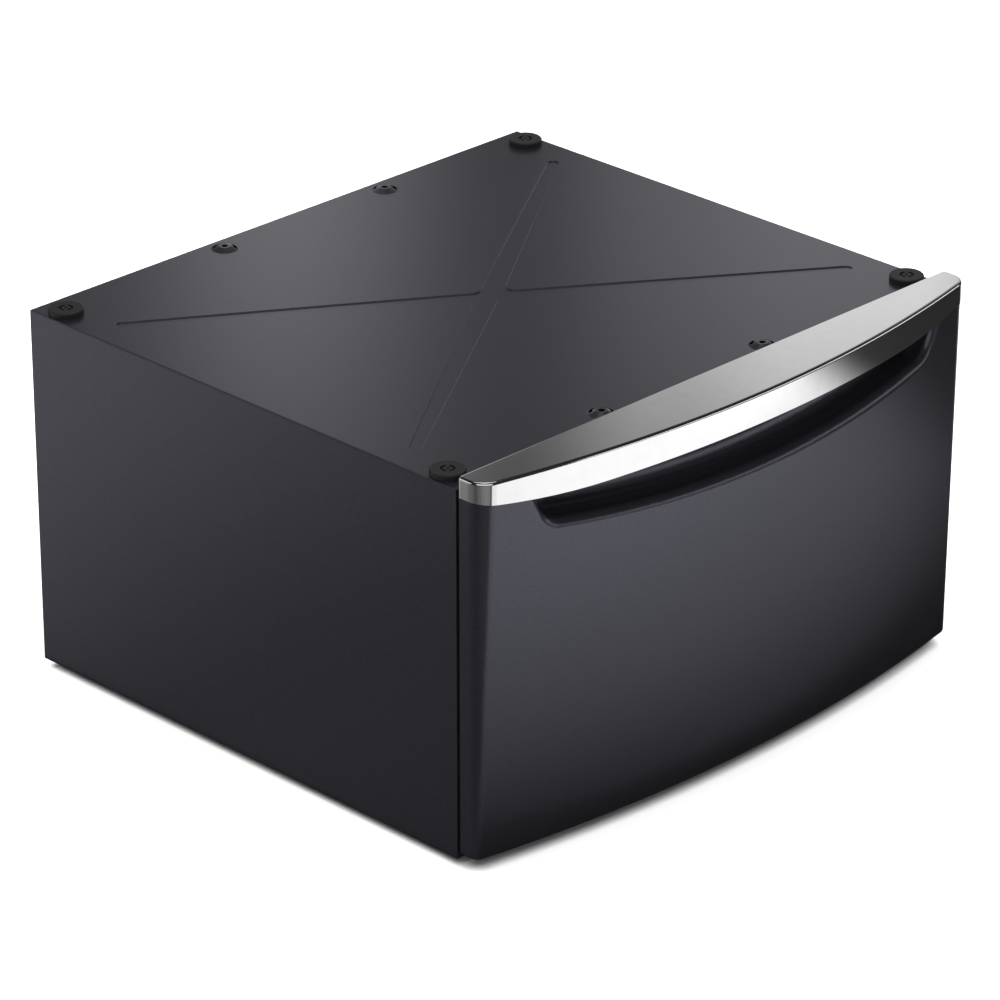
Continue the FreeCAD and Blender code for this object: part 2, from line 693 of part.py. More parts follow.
def handle_screws():
    """Screws from inside the drawer front into the rear wall of the cap."""
    base_y = LINER_REAR_Y - SHEET
    return [screw(V(x, base_y, HANDLE_SCREW_Z), V(0, -1, 0), HANDLE_SCREW_LENGTH) for x in HANDLE_SCREW_X]


# ---------------------------------------------------------------- drawer box

def drawer_bottom():
    """Flat sheet under the drawer."""
    return box(
        (-BOX_HALF_WIDTH, LINER_REAR_Y, BOX_BOTTOM_Z - BOX_SHEET),
        (BOX_HALF_WIDTH, BOX_REAR_Y, BOX_BOTTOM_Z))


def drawer_left_wall():
    """Side of the drawer with a turned-out top edge."""
    inner = BOX_HALF_WIDTH - BOX_SHEET
    wall = box((-BOX_HALF_WIDTH, LINER_REAR_Y, BOX_BOTTOM_Z), (-inner, BOX_REAR_Y, BOX_TOP_Z))
    hem = box(
        (-BOX_HALF_WIDTH - BOX_HEM, LINER_REAR_Y, BOX_TOP_Z - BOX_SHEET),
        (-BOX_HALF_WIDTH, BOX_REAR_Y, BOX_TOP_Z))
    return join([wall, hem])


def drawer_cross_wall(y, outward):
    """Front or rear wall of the drawer with a turned top edge where it has one."""
    inner = BOX_HALF_WIDTH - BOX_SHEET
    wall = box((-inner, y, BOX_BOTTOM_Z), (inner, y + BOX_SHEET, BOX_TOP_Z))
    if not outward:
        return wall
    hem = box(
        (-inner, y + BOX_SHEET, BOX_TOP_Z - BOX_SHEET),
        (inner, y + BOX_SHEET + BOX_HEM, BOX_TOP_Z))
    return join([wall, hem])


def drawer_screws():
    """Screws holding the drawer box to the rear of the drawer front."""
    base_y = LINER_REAR_Y + BOX_SHEET
    shapes = []
    for x in BOX_SCREW_X:
        for z in BOX_SCREW_Z:
            shapes.append(screw(V(x, base_y, z), V(0, 1, 0), BOX_SCREW_LENGTH))
    return shapes


def bumper():
    """Soft stop on the rear of the drawer front."""
    length = -LINER_REAR_Y - BUMPER_GAP
    return Part.makeCylinder(BUMPER_R, length, V(-BUMPER_X, LINER_REAR_Y, BUMPER_Z), V(0, 1, 0))


# ---------------------------------------------------------------- slides (left side)

def slide_box(low, high):
    """Box given as (distance in from the slide's mounting face, y, height above its axis)."""
    base = -SLIDE_MOUNT_X
    return box(
        (base + low[0], low[1], SLIDE_Z + low[2]),
        (base + high[0], high[1], SLIDE_Z + high[2]))


def channel(web, reach, half):
    """Sliding member: a web with two turned edges reaching across the slide."""
    front, rear = SLIDE_FRONT_Y, SLIDE_FRONT_Y + SLIDE_LENGTH
    near, far = min(web[0], reach), max(web[1], reach)
    return join([
        slide_box((web[0], front, -half), (web[1], rear, half)),
        slide_box((near, front, half - RAIL_SHEET), (far, rear, half)),
        slide_box((near, front, -half), (far, rear, -half + RAIL_SHEET)),
    ])


def ball_cage(layout):
    """Thin ball carrier with two rows of balls, as one piece."""
    web_at, reach, row = layout
    middle = SLIDE_FRONT_Y + SLIDE_LENGTH / 2
    front, rear = middle - CAGE_LENGTH / 2, middle + CAGE_LENGTH / 2
    half_sheet = CAGE_SHEET / 2
    parts = [slide_box((web_at, front, -row), (web_at + CAGE_SHEET, rear, row))]
    pitch = CAGE_LENGTH / BALL_COUNT
    across = -SLIDE_MOUNT_X + (web_at + reach) / 2
    for side in (-1, 1):
        level = side * row
        parts.append(slide_box((web_at, front, level - half_sheet), (reach, rear, level + half_sheet)))
        for k in range(BALL_COUNT):
            centre = V(across, front + pitch * (k + 0.5), SLIDE_Z + level)
            parts.append(Part.makeSphere(BALL_R, centre))
    return join(parts)


def left_slide_bracket():
    """Hat-shaped spacer between the side sheet and the slide."""
    front, rear = SLIDE_BRACKET_Y
    wall_x = -INSIDE
    face_x = -SLIDE_MOUNT_X
    half = SLIDE_BRACKET_HALF
    outer = box((wall_x, front, SLIDE_Z - half), (face_x, rear, SLIDE_Z + half))
    inner = box(
        (wall_x, front, SLIDE_Z - half + SHEET),
        (face_x - SHEET, rear, SLIDE_Z + half - SHEET))
    return outer.cut(inner)


def left_slide_screws():
    """Screws through the cabinet rail into its bracket."""
    head_x = -SLIDE_MOUNT_X + OUTER_WEB[1]
    shapes = []
    for y in SLIDE_SCREW_Y:
        head = Part.makeCylinder(SCREW_HEAD_R, FLAT_HEAD_HEIGHT, V(head_x, y, SLIDE_Z), V(1, 0, 0))
        shank = Part.makeCylinder(SCREW_R, CABINET_RAIL_SCREW_LENGTH, V(head_x, y, SLIDE_Z), V(-1, 0, 0))
        shapes.append(join([head, shank]))
    return shapes


def left_rail_screws():
    """Screws through the drawer rail into the drawer side."""
    head_x = -SLIDE_MOUNT_X + INNER_WEB[0]
    shapes = []
    for y in SLIDE_SCREW_Y:
        head = Part.makeCylinder(SCREW_HEAD_R, FLAT_HEAD_HEIGHT, V(head_x, y, SLIDE_Z), V(-1, 0, 0))
        shank = Part.makeCylinder(SCREW_R, DRAWER_RAIL_SCREW_LENGTH, V(head_x, y, SLIDE_Z), V(1, 0, 0))
        shapes.append(join([head, shank]))
    return shapes


def drill(shape, screws):
    """Cut the screws' own shape out of a sheet they pass through."""
    return shape.cut(Part.makeCompound(screws))


# ---------------------------------------------------------------- assembly

rear_screws = rear_panel_screws()
handle_fixings = handle_screws()
box_fixings = drawer_screws()
slide_fixings = left_slide_screws()
slide_fixings += [mirror_x(shape) for shape in slide_fixings]
rail_fixings = left_rail_screws()
rail_fixings += [mirror_x(shape) for shape in rail_fixings]

left_side = drill(left_panel(), rear_screws)
save("top_panel", top_panel())
save("left_panel", left_side)
save("right_panel", mirror_x(left_side))
save("rear_panel", drill(rear_panel(), rear_screws))
save("front_top_rail", front_top_rail())
save("rear_top_rail", rear_top_rail())
save("front_base_rail", base_rail(True))
save("rear_base_rail", base_rail(False))

corner_parts = {"corner_post": front_left_post(), "foot_bracket": front_left_bracket()}
for stem_name, shape in corner_parts.items():
    rear_shape = drill(to_rear(shape), rear_screws)
    save(stem_name + "_front_left", shape)
    save(stem_name + "_front_right", mirror_x(shape))
    save(stem_name + "_rear_left", rear_shape)
    save(stem_name + "_rear_right", mirror_x(rear_shape))

for place, pad_x, pad_y in pad_places():
    save("top_pad_" + place, top_pad(pad_x, pad_y))
for place, foot_x, foot_y in foot_places():
    save("levelling_foot_" + place, levelling_foot(foot_x, foot_y))
save("foot_lock_nuts", Part.makeCompound([lock_nut(x, y) for name, x, y in foot_places()]))
save("rear_panel_screws", Part.makeCompound(rear_screws))

save("drawer_front_panel", drawer_front_panel())
save("drawer_front_liner", drill(drawer_front_liner(), handle_fixings + box_fixings))
save("handle_trim", drill(handle_trim(), handle_fixings))
save("handle_screws", Part.makeCompound(handle_fixings))

left_wall = drill(drawer_left_wall(), rail_fixings)
save("drawer_bottom", drawer_bottom())
save("drawer_left_wall", left_wall)
save("drawer_right_wall", mirror_x(left_wall))
save("drawer_front_wall", drill(drawer_cross_wall(LINER_REAR_Y, False), box_fixings))
save("drawer_rear_wall", drawer_cross_wall(BOX_REAR_Y - BOX_SHEET, True))
save("drawer_screws", Part.makeCompound(box_fixings))
save("drawer_bumper_left", bumper())
save("drawer_bumper_right", mirror_x(bumper()))

left_outer = drill(channel(OUTER_WEB, OUTER_REACH, OUTER_HALF), slide_fixings)
left_bracket = drill(left_slide_bracket(), slide_fixings)
left_inner = drill(channel(INNER_WEB, INNER_REACH, INNER_HALF), rail_fixings)
slide_parts = {
    "slide_bracket": left_bracket,
    "cabinet_rail": left_outer,
    "intermediate_rail": channel(MIDDLE_WEB, MIDDLE_REACH, MIDDLE_HALF),
    "drawer_rail": left_inner,
    "outer_ball_cage": ball_cage(CAGE_OUTER),
    "inner_ball_cage": ball_cage(CAGE_INNER),
}
for name, shape in slide_parts.items():
    save("left_" + name, shape)
    save("right_" + name, mirror_x(shape))
save("cabinet_rail_screws", Part.makeCompound(slide_fixings))
save("drawer_rail_screws", Part.makeCompound(rail_fixings))
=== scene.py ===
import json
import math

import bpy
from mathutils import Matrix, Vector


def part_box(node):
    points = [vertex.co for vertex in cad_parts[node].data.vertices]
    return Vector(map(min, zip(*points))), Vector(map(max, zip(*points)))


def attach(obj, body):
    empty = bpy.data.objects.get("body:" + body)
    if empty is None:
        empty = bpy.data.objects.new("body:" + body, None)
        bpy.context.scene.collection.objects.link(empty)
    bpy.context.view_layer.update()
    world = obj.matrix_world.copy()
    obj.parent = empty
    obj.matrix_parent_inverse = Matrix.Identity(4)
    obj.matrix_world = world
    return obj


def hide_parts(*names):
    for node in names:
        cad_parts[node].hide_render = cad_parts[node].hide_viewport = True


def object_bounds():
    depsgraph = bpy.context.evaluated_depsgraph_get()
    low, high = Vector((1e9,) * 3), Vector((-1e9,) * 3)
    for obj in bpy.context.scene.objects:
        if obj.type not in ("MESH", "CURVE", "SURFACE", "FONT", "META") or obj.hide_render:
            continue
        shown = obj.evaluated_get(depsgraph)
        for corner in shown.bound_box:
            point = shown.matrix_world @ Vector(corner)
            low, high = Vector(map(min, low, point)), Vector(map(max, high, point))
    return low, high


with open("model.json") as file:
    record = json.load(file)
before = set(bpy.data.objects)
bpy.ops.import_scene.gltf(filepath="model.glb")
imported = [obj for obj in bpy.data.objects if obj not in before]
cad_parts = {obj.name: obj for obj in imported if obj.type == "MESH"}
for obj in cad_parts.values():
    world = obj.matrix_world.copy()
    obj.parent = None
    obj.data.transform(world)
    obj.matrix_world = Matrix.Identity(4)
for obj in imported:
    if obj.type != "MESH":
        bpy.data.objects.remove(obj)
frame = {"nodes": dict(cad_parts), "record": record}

# %% [markdown]
# # A laundry pedestal with a storage drawer
#
# The CAD model is already loaded as a frame of sheet-steel parts. This lesson
# gives it finishes, light and a camera. Every length is in metres. The frame's
# origin is on the floor under the middle of the pedestal: x runs to the right,
# y to the back and z up.

MM = 0.001

cad_low, cad_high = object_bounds()
nodes = frame["nodes"]
slot_of = {part["node"]: part["material_slot"] for part in frame["record"]["subparts"]}
print("CAD box", [round(v, 4) for v in cad_low], [round(v, 4) for v in cad_high])


# %% [markdown]
# ## Camera
#
# A long lens from the front left, a little above the lid, is how such a cabinet
# is usually shown: the long lens keeps the box square, and the height shows the
# lid, the left side and the door together. The camera is placed by an azimuth,
# an elevation and a distance from a point inside the cabinet, so that each
# number means something that can be checked with a tape and a protractor.

# %% Place the camera
CAMERA_AZIMUTH = -45.3253
CAMERA_ELEVATION = 25.2832
CAMERA_DISTANCE = 5.17795
CAMERA_TARGET = Vector((0, 39 * MM, 190 * MM))
CAMERA_RIGHT = 12.598 * MM
CAMERA_UP = -19.094 * MM
LENS_MM = 184.413


def camera_axes(azimuth, elevation):
    """The camera's right, up and backward directions for angles in degrees."""
    a, e = math.radians(azimuth), math.radians(elevation)
    back = Vector((math.sin(a) * math.cos(e), -math.cos(a) * math.cos(e), math.sin(e)))
    right = Vector((math.cos(a), math.sin(a), 0))
    return right, back.cross(right), back


right, up, back = camera_axes(CAMERA_AZIMUTH, CAMERA_ELEVATION)
camera_data = bpy.data.cameras.new("long_lens")
camera_data.sensor_width = 36
camera_data.lens = LENS_MM
camera_data.clip_end = 60
camera = bpy.data.objects.new("camera", camera_data)
bpy.context.scene.collection.objects.link(camera)
camera_place = CAMERA_TARGET + back * CAMERA_DISTANCE + right * CAMERA_RIGHT + up * CAMERA_UP
camera.matrix_world = Matrix((right, up, back)).transposed().to_4x4()
camera.location = camera_place
bpy.context.scene.camera = camera
print("camera at", [round(v, 3) for v in camera_place])


# %% [markdown]
# ## Helpers for finishes
#
# Colours are written as sRGB hex values, the way a paint chart gives them, and
# one function turns them into the linear numbers that the shader works in. One
# other function adds a node with its settings and links, which keeps each
# finish short enough to read in one go.

# %% Colour and node helpers
def linear(code):
    """An sRGB hex colour as linear RGBA."""
    channels = [int(code[i:i + 2], 16) / 255 for i in (1, 3, 5)]
    return [c / 12.92 if c <= 0.04045 else ((c + 0.055) / 1.055) ** 2.4 for c in channels] + [1]


def add(tree, kind, links=(), values=(), **settings):
    """A node of that kind, with its settings, its sockets' values and what is linked to them."""
    node = tree.nodes.new(kind)
    for name, value in settings.items():
        setattr(node, name, value)
    for name, value in dict(values).items():
        node.inputs[name].default_value = value
    for name, source in dict(links).items():
        tree.links.new(source, node.inputs[name])
    return node


def start_finish(name, **values):
    """A material with a Principled shader set to these values, and the row frame's coordinates."""
    material = bpy.data.materials.new(name)
    material.use_nodes = True
    tree = material.node_tree
    tree.nodes.clear()
    shader = add(tree, "ShaderNodeBsdfPrincipled")
    for socket, value in values.items():
        shader.inputs[socket.replace("_", " ")].default_value = value
    add(tree, "ShaderNodeOutputMaterial", {"Surface": shader.outputs["BSDF"]})
    place = add(tree, "ShaderNodeTexCoord").outputs["Object"]
    return material, tree, shader, place


def per_metre(millimetres):
    """A texture scale whose pattern repeats about once in that many millimetres."""
    return 1 / (millimetres * MM)


# %% [markdown]
# ## Floor
#
# The cabinet stands on a sheet of matt white board, as in a small studio. A
# plane with a rough white surface is all it takes. It isn't part of the
# pedestal. Glossy rays pass through it: what the paint and the chrome mirror
# from below is set by the cards further down.

# %% Floor
FLOOR_HALF = 12.0

floor_mesh = bpy.data.meshes.new("floor")
corners = ((-1, -1), (1, -1), (1, 1), (-1, 1))
floor_mesh.from_pydata([(x * FLOOR_HALF, y * FLOOR_HALF, 0) for x, y in corners], [], [(0, 1, 2, 3)])
floor = bpy.data.objects.new("floor", floor_mesh)
bpy.context.scene.collection.objects.link(floor)
board, tree, shader, place = start_finish("white_board", Base_Color=linear("#f6f6f6"), Roughness=0.9)
shader.inputs["Specular IOR Level"].default_value = 0
floor_mesh.materials.append(board)
floor.visible_glossy = False
print("floor", FLOOR_HALF * 2, "m across")


# %% [markdown]
# ## Light
#
# Satin metallic paint has almost no colour of its own in the light: it shows a
# blurred picture of what stands round it. A photographer therefore lights it
# with large soft cards, and fades each card from bright to dark so that a flat
# sheet gets a slow change of tone. An area light can fade in the same way: its
# strength is worked out from where a point lies on it.

# %% Soft boxes and cards
def fading(tree, direction, stops):
    """A strength that follows stops of (metres along direction, strength)."""
    geometry = add(tree, "ShaderNodeNewGeometry")
    along = add(tree, "ShaderNodeVectorMath", {0: geometry.outputs["Position"]}, {1: direction},
                operation="DOT_PRODUCT").outputs["Value"]
    low, high = stops[0][0], stops[-1][0]
    span = add(tree, "ShaderNodeMapRange", {"Value": along}, {"From Min": low, "From Max": high})
    ramp = add(tree, "ShaderNodeValToRGB", {"Fac": span.outputs["Result"]})
    ramp.color_ramp.interpolation = "EASE"
    points = ramp.color_ramp.elements
    for _ in stops[2:]:
        points.new(0.5)
    for point, (metres, strength) in zip(points, stops):
        point.position = (metres - low) / (high - low)
        point.color = (strength, strength, strength, 1)
    return ramp.outputs["Color"]


def soft_box(name, centre, facing, width, height, brightness, fades=()):
    """A rectangular area light whose face has that brightness, faded by each (direction, stops)."""
    data = bpy.data.lights.new(name, "AREA")
    data.shape = "RECTANGLE"
    data.size, data.size_y = width, height
    data.energy = brightness * math.pi * width * height
    data.use_nodes = True
    tree = data.node_tree
    strength = None
    for direction, stops in fades:
        product = add(tree, "ShaderNodeMath", {0: fading(tree, direction, stops)}, {1: 1.0}, operation="MULTIPLY")
        if strength is not None:
            tree.links.new(strength, product.inputs[1])
        strength = product.outputs["Value"]
    if strength is not None:
        tree.links.new(strength, tree.nodes["Emission"].inputs["Strength"])
    box = bpy.data.objects.new(name, data)
    bpy.context.scene.collection.objects.link(box)
    box.location = centre
    box.rotation_mode = "QUATERNION"
    box.rotation_quaternion = Vector(facing).to_track_quat("-Z", "Y")
    box.visible_camera = False
    return box


# %% [markdown]
# The room itself is dim, so that the cards decide the tones. One wide box
# overhead lights the white floor and gives the soft contact shadow; glossy
# rays don't see it, or it would flatten the lid.

# %% Room and overhead box
WORLD_LIGHT = 0.025
OVERHEAD_HEIGHT = 2.6
OVERHEAD_SIZE = 6.0
OVERHEAD_BRIGHTNESS = 3.0
DOWN = (0, 0, -1)

world = bpy.data.worlds.new("studio")
world.use_nodes = True
backdrop = world.node_tree.nodes["Background"].inputs
backdrop["Color"].default_value = linear("#ffffff")
backdrop["Strength"].default_value = WORLD_LIGHT
bpy.context.scene.world = world
bpy.context.scene.view_settings.view_transform = "Standard"
overhead = soft_box(
    "overhead_soft_box", (0, 0, OVERHEAD_HEIGHT), DOWN, OVERHEAD_SIZE, OVERHEAD_SIZE, OVERHEAD_BRIGHTNESS)
overhead.visible_glossy = False

# %% [markdown]
# Four cards do the modelling. The lid mirrors what stands behind the pedestal
# at the camera's own height angle, so its card stands there, square to the
# mirrored line of sight. It has two bright zones with a dark valley between
# them, which the lid shows as two soft sheens and the cap as a slow rise from
# left to right. The door and the left side mirror the floor, so their cards
# lie on it; the front one ends short of the right, which leaves the right end
# of the bowed door and cap dark. A fourth card stands out in front on the right,
# where the rolled lip of the grip looks, and draws a line of light on it.

# %% Cards
# Each card has a (width, height) and a brightness. A fade is a list of (metres
# along a direction, strength). The metres count from the frame's origin, except
# in TOP_CARD_UP, where they count from the card's own middle.
X_AXIS, Y_AXIS, UPWARD = (1, 0, 0), (0, 1, 0), (0, 0, 1)
FLOOR_CARD_Z = 4 * MM

TOP_CARD_DISTANCE = 1.0
TOP_CARD_SIZE = (2.2, 1.3)
TOP_CARD_BRIGHTNESS = 0.95
TOP_CARD_ACROSS = [(-0.9, 0.2), (-0.50, 0.3), (-0.28, 1.1), (0.0, 0.2), (0.18, 0.7), (0.34, 1.0), (0.48, 1.0),
                   (0.60, 0.55), (0.9, 0.5)]
TOP_CARD_UP = [(-0.6, 0.7), (-0.1, 0.92), (0.25, 0.35), (0.6, 0.1)]

FRONT_CARD_MIDDLE = (-0.2, -1.28, FLOOR_CARD_Z)
FRONT_CARD_SIZE = (2.9, 1.84)
FRONT_CARD_BRIGHTNESS = 1.25
FRONT_CARD_ACROSS = [(-1.65, 0.2), (-0.62, 0.16), (-0.5, 0.02), (-0.40, 0.8), (0.2, 1.02), (0.72, 1.1),
                     (0.94, 0.015), (1.25, 0.005)]
FRONT_CARD_OUT = [(-2.2, 0.8), (-0.95, 1.0), (-0.80, 0.80), (-0.60, 0.48), (-0.36, 0.12)]

SIDE_CARD_MIDDLE = (-1.33, 0.9, FLOOR_CARD_Z)
SIDE_CARD_SIZE = (1.96, 3.0)
SIDE_CARD_BRIGHTNESS = 0.73
SIDE_CARD_OUT = [(-2.31, 1.0), (-1.2, 1.0), (-0.7, 1.12), (-0.35, 1.4)]
SIDE_CARD_BACK = [(-0.6, 0.02), (0.1, 0.16), (1.1, 0.95), (2.4, 1.0)]

LIP_CARD_DISTANCE = 2.6
LIP_CARD_DIRECTION = Vector((0.67, -0.69, 0.27))
LIP_CARD_SIZE = (2.6, 0.55)
LIP_CARD_BRIGHTNESS = 1.3

mirrored = Vector((-back.x, -back.y, back.z))
above = right.cross(mirrored)
card_centre = Vector((0, 0, cad_high.z)) + mirrored * TOP_CARD_DISTANCE
level = card_centre.dot(above)
soft_box("top_card", card_centre, -mirrored, *TOP_CARD_SIZE, TOP_CARD_BRIGHTNESS, [
    (tuple(right), TOP_CARD_ACROSS),
    (tuple(above), [(level + metres, strength) for metres, strength in TOP_CARD_UP])])
soft_box("front_card", FRONT_CARD_MIDDLE, UPWARD, *FRONT_CARD_SIZE, FRONT_CARD_BRIGHTNESS, [
    (X_AXIS, FRONT_CARD_ACROSS),
    (Y_AXIS, FRONT_CARD_OUT)])
soft_box("side_card", SIDE_CARD_MIDDLE, UPWARD, *SIDE_CARD_SIZE, SIDE_CARD_BRIGHTNESS, [
    (X_AXIS, SIDE_CARD_OUT),
    (Y_AXIS, SIDE_CARD_BACK)])
soft_box("lip_card", LIP_CARD_DIRECTION * LIP_CARD_DISTANCE, -LIP_CARD_DIRECTION, *LIP_CARD_SIZE, LIP_CARD_BRIGHTNESS)


# %% [markdown]
# A pedestal is also looked at from behind, from the right and from above,
# where none of those cards show in it. Two fill cards stand high on the left,
# one hangs overhead, and two lie on the floor behind and to the right. From the
# main camera none of them is in a mirrored line of sight: the lid and the
# rounded edge of the cap there look elsewhere, and the cabinet hides the floor
# ones.

# %% Fill cards
FILL_DISTANCE = 2.6
FILL_BRIGHTNESS = 0.8

for name, toward, width, height in (("fill_front_left", Vector((-0.62, -0.62, 0.48)), 3.0, 1.7),
                                    ("fill_back_left", Vector((-0.66, 0.66, 0.36)), 3.0, 1.1),
                                    ("fill_overhead", Vector((0, 0, 0.95)), 1.5, 1.5)):
    soft_box(name, toward * FILL_DISTANCE, -toward, width, height, FILL_BRIGHTNESS)
for name, low, high in (("floor_right", (0.36, -0.2), (2.2, 2.2)),
                        ("floor_back", (-0.34, 0.36), (0.36, 2.2))):
    middle = ((low[0] + high[0]) / 2, (low[1] + high[1]) / 2, FLOOR_CARD_Z)
    soft_box(name, middle, UPWARD, high[0] - low[0], high[1] - low[1], FILL_BRIGHTNESS)


# %% [markdown]
# ## Slate metallic enamel
#
# The sheet steel is sprayed with a dark slate base coat full of fine aluminium
# flakes, then baked. The eye sees a satin sheen that changes slowly over each
# sheet, a faint sparkle where single flakes catch the light, and a very
# shallow orange-peel ripple left by the spray. Real flakes are about 0.05 mm,
# too fine to show, so they are drawn 0.9 mm across. A Voronoi pattern gives
# each flake its own tone, and a noise pattern bends the surface for the ripple.

# %% Slate metallic enamel
FLAKE_MM = 0.9
ORANGE_PEEL_MM = 3.5

slate, tree, shader, place = start_finish("slate_metallic_enamel", Metallic=0.92)
flake = add(tree, "ShaderNodeTexVoronoi", {"Vector": place}, {"Scale": per_metre(FLAKE_MM)})
flake_tone = add(tree, "ShaderNodeMix", {"Factor": flake.outputs["Distance"]},
                 {6: linear("#56565e"), 7: linear("#45454d")}, data_type="RGBA")
peel = add(tree, "ShaderNodeTexNoise", {"Vector": place}, {"Scale": per_metre(ORANGE_PEEL_MM), "Detail": 1.0})
gloss = add(tree, "ShaderNodeMapRange", {"Value": peel.outputs["Fac"]}, {"To Min": 0.27, "To Max": 0.32})
ripple = add(tree, "ShaderNodeBump", {"Height": peel.outputs["Fac"]}, {"Strength": 0.05, "Distance": 0.5 * MM})
sparkle = add(tree, "ShaderNodeBump", {"Height": flake.outputs["Distance"], "Normal": ripple.outputs["Normal"]},
              {"Strength": 0.02, "Distance": 0.2 * MM})
tree.links.new(flake_tone.outputs[2], shader.inputs["Base Color"])
tree.links.new(gloss.outputs["Result"], shader.inputs["Roughness"])
tree.links.new(sparkle.outputs["Normal"], shader.inputs["Normal"])
print(slate.name, "flakes", FLAKE_MM, "mm")


# %% [markdown]
# ## Chrome-plated ABS
#
# The handle cap is moulded in ABS, then plated with copper, nickel and a last
# bright flash of chromium. It mirrors the room almost perfectly. What gives it
# away as plastic is a faint waviness some centimetres long, where the moulding
# shrank, and a trace of haze from wiping.

# %% Chrome-plated ABS
MOULDING_WAVE_MM = 45.0
WIPE_HAZE_MM = 12.0

chrome, tree, shader, place = start_finish("chrome_plated_abs", Metallic=1.0)
haze = add(tree, "ShaderNodeTexNoise", {"Vector": place}, {"Scale": per_metre(WIPE_HAZE_MM), "Detail": 4.0})
plating = add(tree, "ShaderNodeMix", {"Factor": haze.outputs["Fac"]},
              {6: linear("#e4e4e4"), 7: linear("#dcdcdd")}, data_type="RGBA")
gloss = add(tree, "ShaderNodeMapRange", {"Value": haze.outputs["Fac"]}, {"To Min": 0.06, "To Max": 0.12})
wave = add(tree, "ShaderNodeTexNoise", {"Vector": place}, {"Scale": per_metre(MOULDING_WAVE_MM), "Detail": 0.0})
shrink = add(tree, "ShaderNodeBump", {"Height": wave.outputs["Fac"]}, {"Strength": 0.1, "Distance": 0.6 * MM})
tree.links.new(plating.outputs[2], shader.inputs["Base Color"])
tree.links.new(gloss.outputs["Result"], shader.inputs["Roughness"])
tree.links.new(shrink.outputs["Normal"], shader.inputs["Normal"])
print(chrome.name, "roughness 0.06 to 0.12")


# %% [markdown]
# ## Moulded rubber
#
# The pads are compression-moulded in black EPDM rubber. The mould is spark
# eroded, which leaves a fine dull grain, and the skin has a slight grey bloom
# on the high spots. The grain is about 0.2 mm; it is drawn at 0.7 mm.

# %% Moulded rubber
RUBBER_GRAIN_MM = 0.7

rubber, tree, shader, place = start_finish("moulded_epdm_rubber", IOR=1.5)
grain = add(tree, "ShaderNodeTexNoise", {"Vector": place}, {"Scale": per_metre(RUBBER_GRAIN_MM), "Detail": 2.0})
bloom = add(tree, "ShaderNodeMix", {"Factor": grain.outputs["Fac"]},
            {6: linear("#060606"), 7: linear("#18181a")}, data_type="RGBA")
dull = add(tree, "ShaderNodeMapRange", {"Value": grain.outputs["Fac"]}, {"To Min": 0.5, "To Max": 0.75})
bumps = add(tree, "ShaderNodeBump", {"Height": grain.outputs["Fac"]}, {"Strength": 0.35, "Distance": 0.15 * MM})
tree.links.new(bloom.outputs[2], shader.inputs["Base Color"])
tree.links.new(dull.outputs["Result"], shader.inputs["Roughness"])
tree.links.new(bumps.outputs["Normal"], shader.inputs["Normal"])
print(rubber.name, "grain", RUBBER_GRAIN_MM, "mm")


# %% [markdown]
# ## Powder-coated steel
#
# The drawer box isn't seen until it is opened, so it is powder coated in a
# plain light grey. Powder melts into a skin with a soft pebbled texture about
# 1.2 mm across, duller than the sprayed enamel.

# %% Powder-coated steel
PEBBLE_MM = 1.2

powder, tree, shader, place = start_finish("powder_coated_steel", IOR=1.5)
pebble = add(tree, "ShaderNodeTexNoise", {"Vector": place}, {"Scale": per_metre(PEBBLE_MM), "Detail": 1.5})
skin = add(tree, "ShaderNodeMix", {"Factor": pebble.outputs["Fac"]},
           {6: linear("#8f9296"), 7: linear("#a2a5a9")}, data_type="RGBA")
gloss = add(tree, "ShaderNodeMapRange", {"Value": pebble.outputs["Fac"]}, {"To Min": 0.42, "To Max": 0.6})
texture = add(tree, "ShaderNodeBump", {"Height": pebble.outputs["Fac"]}, {"Strength": 0.25, "Distance": 0.2 * MM})
tree.links.new(skin.outputs[2], shader.inputs["Base Color"])
tree.links.new(gloss.outputs["Result"], shader.inputs["Roughness"])
tree.links.new(texture.outputs["Normal"], shader.inputs["Normal"])
print(powder.name, "pebble", PEBBLE_MM, "mm")


# %% [markdown]
# ## Galvanised sheet
#
# The back cover, the liner and the hidden rails are hot-dip galvanised and not
# painted. As the zinc cools it freezes into leaf-shaped crystals, the spangle,
# each with its own tone and gloss, and a hair higher or lower than the next.
# They are 6 to 12 mm across. A Voronoi pattern, pulled out of shape by a noise,
# gives cells like them.

# %% Galvanised sheet
SPANGLE_MM = 9.0

galvanised, tree, shader, place = start_finish("galvanised_sheet", Metallic=1.0)
warp = add(tree, "ShaderNodeTexNoise", {"Vector": place}, {"Scale": per_metre(SPANGLE_MM / 2), "Detail": 1.0})
bent = add(tree, "ShaderNodeVectorMath", {0: warp.outputs["Color"], 2: place}, {1: (2 * MM, 2 * MM, 2 * MM)},
           operation="MULTIPLY_ADD")
spangle = add(tree, "ShaderNodeTexVoronoi", {"Vector": bent.outputs["Vector"]}, {"Scale": per_metre(SPANGLE_MM)})
leaf = add(tree, "ShaderNodeSeparateColor", {"Color": spangle.outputs["Color"]})
crystal = add(tree, "ShaderNodeMix", {"Factor": leaf.outputs["Red"]},
              {6: linear("#9ba0a3"), 7: linear("#b9bdbf")}, data_type="RGBA")
gloss = add(tree, "ShaderNodeMapRange", {"Value": leaf.outputs["Green"]}, {"To Min": 0.33, "To Max": 0.5})
relief = add(tree, "ShaderNodeBump", {"Height": leaf.outputs["Blue"]}, {"Strength": 0.15, "Distance": 0.05 * MM})
tree.links.new(crystal.outputs[2], shader.inputs["Base Color"])
tree.links.new(gloss.outputs["Result"], shader.inputs["Roughness"])
tree.links.new(relief.outputs["Normal"], shader.inputs["Normal"])
print(galvanised.name, "spangle", SPANGLE_MM, "mm")


